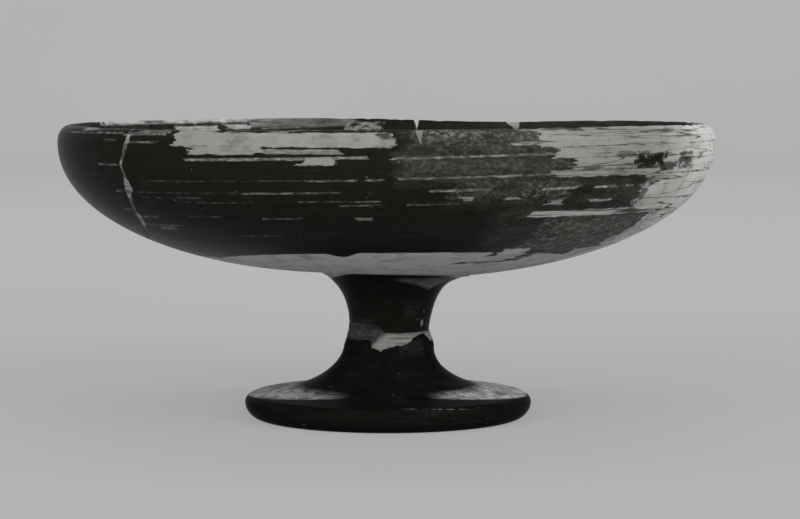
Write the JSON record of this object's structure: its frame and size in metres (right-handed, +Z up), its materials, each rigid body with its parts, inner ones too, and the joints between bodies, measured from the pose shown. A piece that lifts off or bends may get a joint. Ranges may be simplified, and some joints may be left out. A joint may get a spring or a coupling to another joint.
{
  "type": "stemmed drinking cup",
  "caption": "Shallow bowl on a waisted stem and disc foot, a mended black-gloss pottery drinking cup with a re-joined wall sherd and plaster fills.",
  "frame": {"origin": "centre of the foot's standing ring, on the surface that the cup stands on", "axes": "+Z up along the turning axis, +X to the right in the picture, -Y towards the picture's viewer"},
  "size_m": [0.22, 0.22, 0.099],
  "materials": {
    "black_gloss": "worn black gloss over fired clay",
    "plaster": "matt tooled plaster",
    "clay_slip": "matt fired clay slip"
  },
  "bodies": {
    "root": {"bowl": "black_gloss", "left_rim_sherd": "black_gloss", "left_break_fill": "plaster", "front_rim_fill": "plaster", "back_rim_fill": "plaster", "luting_slip": "clay_slip", "upper_stem": "black_gloss", "stem_break_fill": "plaster", "foot": "black_gloss"}
  },
  "joints": []
}
